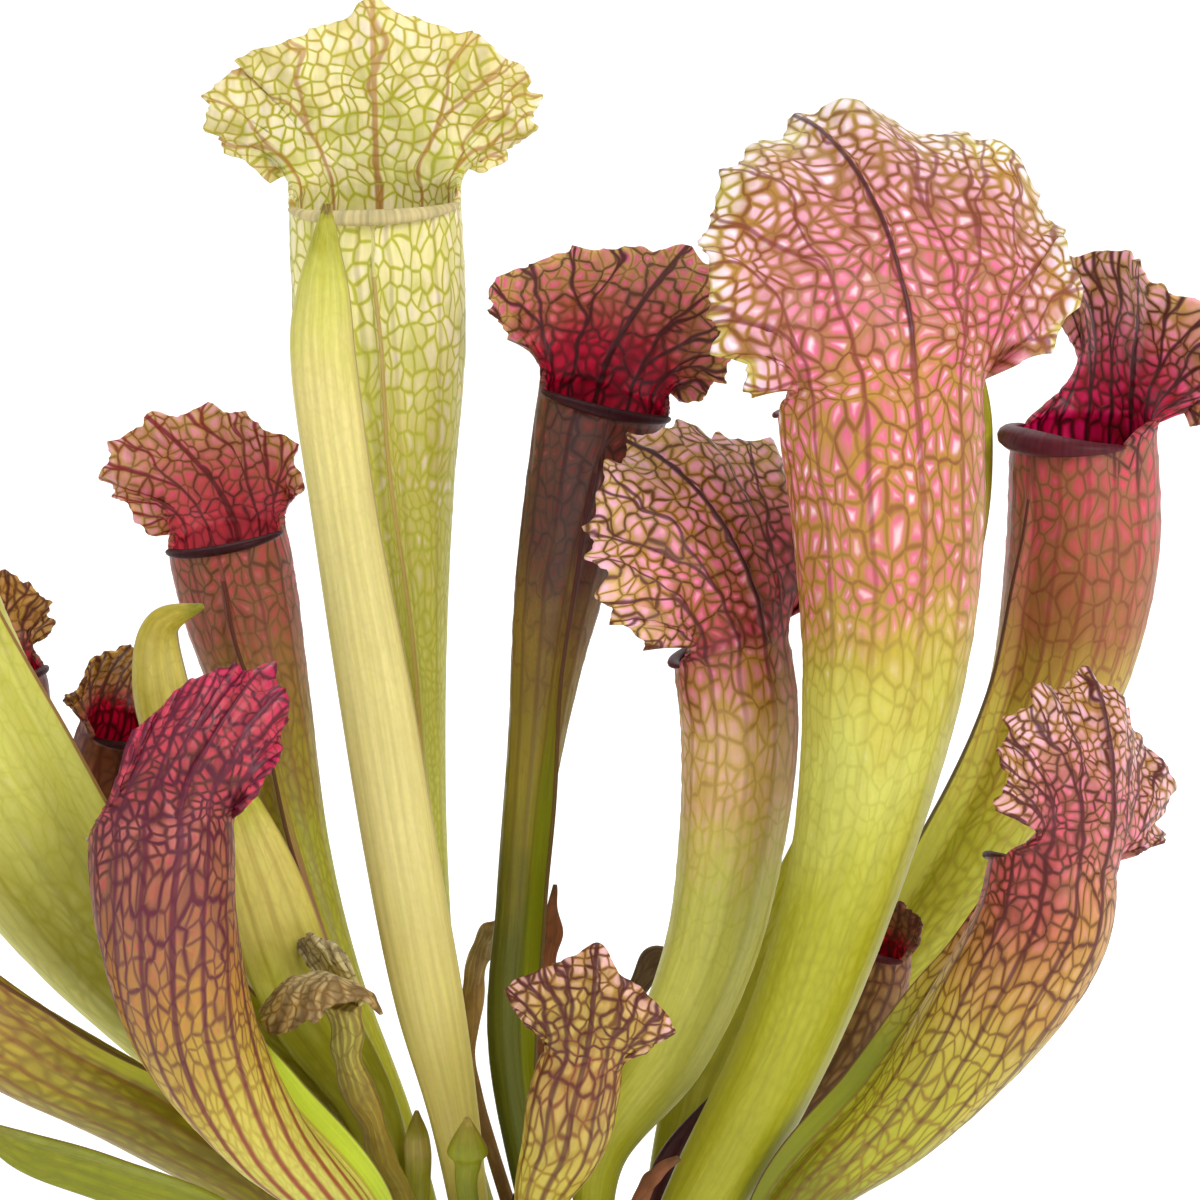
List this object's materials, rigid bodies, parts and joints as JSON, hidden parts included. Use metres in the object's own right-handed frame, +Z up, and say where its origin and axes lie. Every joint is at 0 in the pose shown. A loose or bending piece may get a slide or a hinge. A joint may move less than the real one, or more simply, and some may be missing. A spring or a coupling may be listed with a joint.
{
  "type": "trumpet pitcher plant",
  "caption": "Carnivorous trumpet pitcher plant: a rosette of upright hooded leaf tubes with netted veins, unopened and dried leaves between them, on a rhizome with roots.",
  "frame": {"origin": "middle of the flat underside of the root mat, where the plant rests", "axes": "+X to the viewer's right in the picture, along the plant's widest spread; +Y away from the viewer; +Z up"},
  "size_m": [0.3125, 0.1453, 0.2878],
  "materials": {
    "pitcher_green": "satin",
    "pitcher_maroon": "satin",
    "pitcher_pink": "satin",
    "pitcher_crimson": "satin",
    "pitcher_ochre": "satin",
    "pitcher_purple": "satin",
    "pitcher_brown": "satin",
    "leaf_cream": "satin",
    "leaf_olive": "satin",
    "leaf_green": "satin",
    "leaf_dry": "matte",
    "leaf_base_dark": "satin",
    "rhizome": "matte"
  },
  "bodies": {
    "root": {"pitcher_tall_green": "pitcher_green", "pitcher_maroon": "pitcher_maroon", "pitcher_pink": "pitcher_pink", "pitcher_large_pink": "pitcher_pink", "pitcher_right_crimson": "pitcher_crimson", "pitcher_left_ochre": "pitcher_ochre", "pitcher_left_purple": "pitcher_purple", "pitcher_small_front": "pitcher_ochre", "pitcher_right_low": "pitcher_crimson", "pitcher_far_left": "pitcher_brown", "pitcher_small_left_back": "pitcher_ochre", "pitcher_left_light": "pitcher_green", "pitcher_left_olive": "pitcher_brown", "pitcher_dying_brown": "pitcher_brown", "leaf_unopened_cream": "leaf_cream", "leaf_unopened_curled": "leaf_olive", "leaf_flat_green": "leaf_green", "leaf_narrow_back": "leaf_green", "leaf_low_green": "leaf_green", "leaf_young_tip": "leaf_green", "leaf_bud": "leaf_green", "leaf_dried_rust": "leaf_dry", "leaf_dried_beige": "leaf_dry", "leaf_dried_grey": "leaf_dry", "leaf_dried_hook": "leaf_dry", "leaf_base_dark_centre": "leaf_base_dark", "leaf_base_dark_right": "leaf_base_dark", "pitcher_withered": "leaf_dry", "rhizome_and_roots": "rhizome"}
  },
  "joints": []
}
